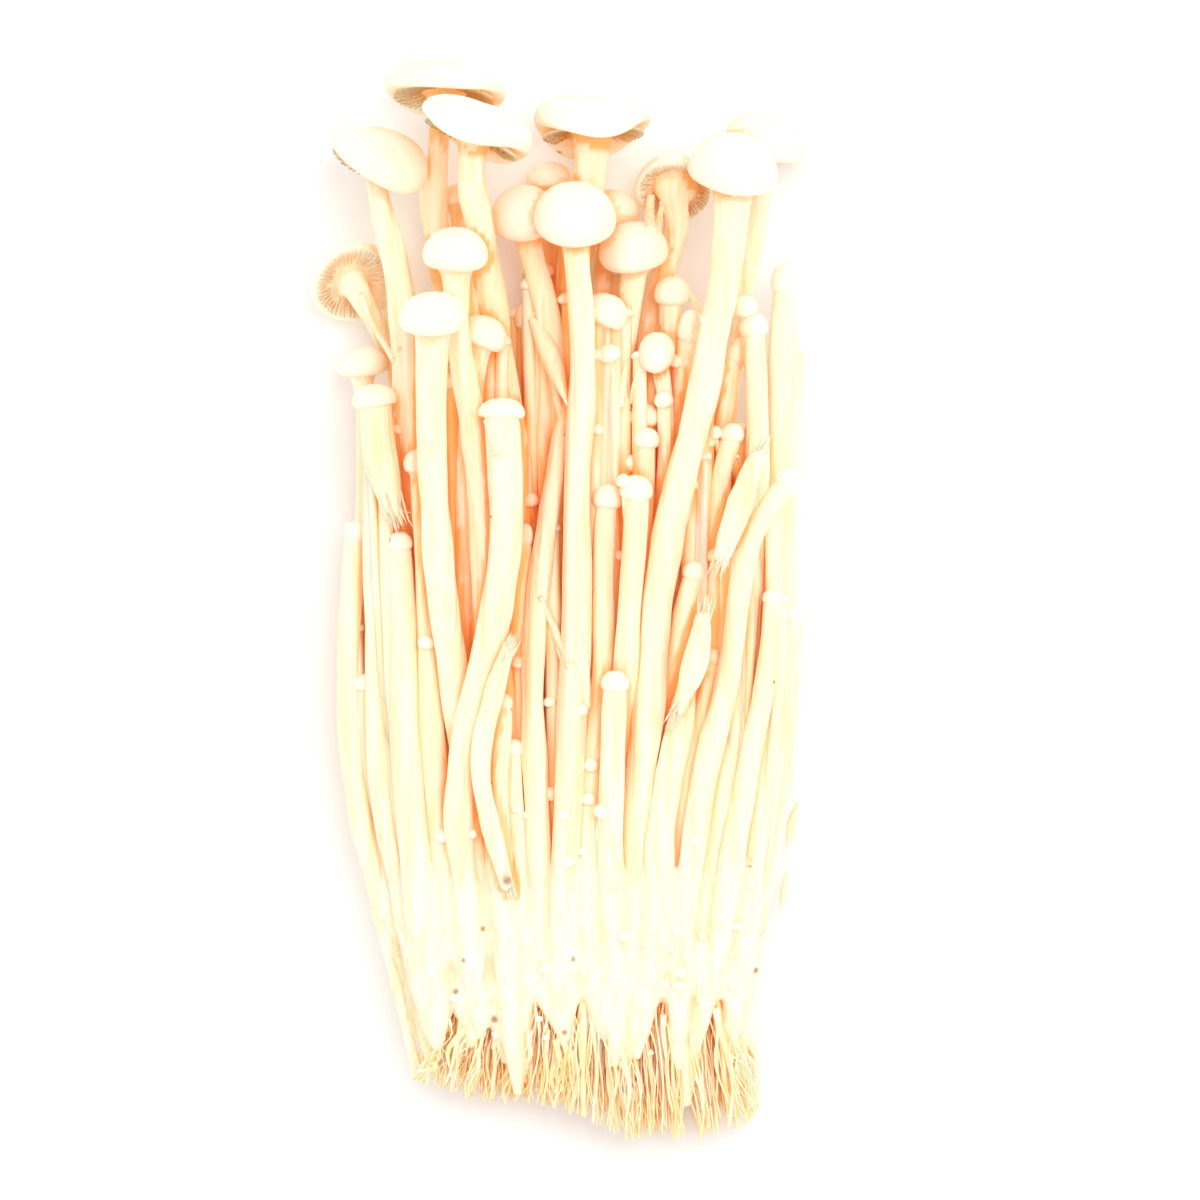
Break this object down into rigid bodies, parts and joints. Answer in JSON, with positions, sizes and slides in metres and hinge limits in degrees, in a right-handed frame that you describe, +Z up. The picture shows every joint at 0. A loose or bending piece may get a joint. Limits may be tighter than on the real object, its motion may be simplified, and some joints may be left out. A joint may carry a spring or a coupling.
{
  "type": "enoki mushroom bunch",
  "caption": "Bunch of long thin pale mushrooms with small round caps, grown together at a fused base with a fringe of cut roots, lying on its side.",
  "frame": {"origin": "the middle of the underside of the box that holds the bunch, at table height", "axes": "+Z up from the table, +Y along the stems from the roots to the caps, +X across the bunch"},
  "size_m": [0.0704, 0.1522, 0.0315],
  "materials": {
    "mushroom_flesh": "satin",
    "base_flesh": "matte",
    "root_strands": "matte"
  },
  "bodies": {
    "root": {"fused_base": "base_flesh", "root_tuft_1": "root_strands", "root_tuft_2": "root_strands", "root_tuft_3": "root_strands", "root_tuft_4": "root_strands", "broad_mushroom_01": "mushroom_flesh", "broad_mushroom_02": "mushroom_flesh", "broad_mushroom_03": "mushroom_flesh", "broad_mushroom_04": "mushroom_flesh", "broad_mushroom_05": "mushroom_flesh", "broad_mushroom_06": "mushroom_flesh", "broad_mushroom_07": "mushroom_flesh", "broad_mushroom_08": "mushroom_flesh", "button_mushroom_01": "mushroom_flesh", "button_mushroom_02": "mushroom_flesh", "button_mushroom_03": "mushroom_flesh", "button_mushroom_04": "mushroom_flesh", "button_mushroom_05": "mushroom_flesh", "button_mushroom_06": "mushroom_flesh", "button_mushroom_07": "mushroom_flesh", "button_mushroom_08": "mushroom_flesh", "button_mushroom_09": "mushroom_flesh", "button_mushroom_10": "mushroom_flesh", "button_mushroom_11": "mushroom_flesh", "button_mushroom_12": "mushroom_flesh", "button_mushroom_13": "mushroom_flesh", "slender_mushroom_01": "mushroom_flesh", "slender_mushroom_02": "mushroom_flesh", "slender_mushroom_03": "mushroom_flesh", "slender_mushroom_04": "mushroom_flesh", "slender_mushroom_05": "mushroom_flesh", "slender_mushroom_06": "mushroom_flesh", "slender_mushroom_07": "mushroom_flesh", "slender_mushroom_08": "mushroom_flesh", "slender_mushroom_09": "mushroom_flesh", "slender_mushroom_10": "mushroom_flesh", "slender_mushroom_11": "mushroom_flesh", "slender_mushroom_12": "mushroom_flesh", "slender_mushroom_13": "mushroom_flesh", "slender_mushroom_14": "mushroom_flesh", "slender_mushroom_15": "mushroom_flesh", "slender_mushroom_16": "mushroom_flesh", "slender_mushroom_17": "mushroom_flesh", "slender_mushroom_18": "mushroom_flesh", "slender_mushroom_19": "mushroom_flesh", "slender_mushroom_20": "mushroom_flesh", "slender_mushroom_21": "mushroom_flesh", "slender_mushroom_22": "mushroom_flesh", "slender_mushroom_23": "mushroom_flesh", "slender_mushroom_24": "mushroom_flesh", "slender_mushroom_25": "mushroom_flesh", "slender_mushroom_26": "mushroom_flesh", "slender_mushroom_27": "mushroom_flesh", "slender_mushroom_28": "mushroom_flesh", "broken_stem_01": "mushroom_flesh", "broken_stem_02": "mushroom_flesh", "broken_stem_03": "mushroom_flesh", "broken_stem_04": "mushroom_flesh", "topless_stem_01": "mushroom_flesh", "topless_stem_02": "mushroom_flesh"}
  },
  "joints": []
}
